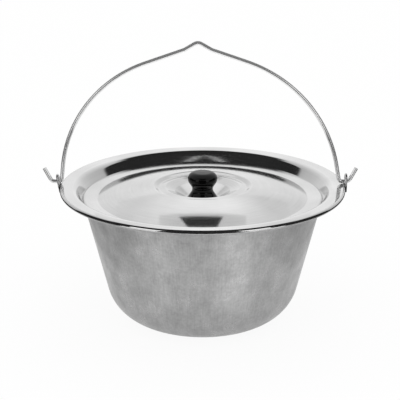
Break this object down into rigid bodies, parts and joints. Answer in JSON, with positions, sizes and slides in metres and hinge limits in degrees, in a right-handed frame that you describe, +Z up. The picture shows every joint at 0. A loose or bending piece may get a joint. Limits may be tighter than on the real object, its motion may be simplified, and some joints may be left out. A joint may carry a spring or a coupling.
{
  "type": "kettle pot with bail handle",
  "caption": "Hanging camp kettle of sheet steel with a rolled rim, a loose pressed lid with a turned knob, and a wire bail that swings in welded wire ears.",
  "frame": {"origin": "centre of the flat base, on the ground, on the kettle's axis", "axes": "+Z up along the kettle's axis, X through the two ears, +Y away from the camera"},
  "size_m": [0.3988, 0.36, 0.3567],
  "materials": {
    "kettle_sheet": "satin, lightly brushed up and down",
    "lid_sheet": "polished",
    "knob_plastic": "glossy black",
    "fixings": "plain",
    "ear_wire": "drawn wire, darkened beside the welds",
    "bail_wire": "bright drawn wire"
  },
  "bodies": {
    "kettle": {"kettle": "kettle_sheet", "lid": "lid_sheet", "knob": "knob_plastic", "knob_washer": "fixings", "knob_screw": "fixings", "ear_left": "ear_wire", "ear_right": "ear_wire"},
    "bail": {"bail": "bail_wire"}
  },
  "joints": [
    {"name": "bail_swing", "type": "hinge", "parent": "kettle", "child": "bail", "pos_m": [0, 0, 0.1779], "axis": [1, 0, 0], "range_deg": [-90, 90]}
  ]
}
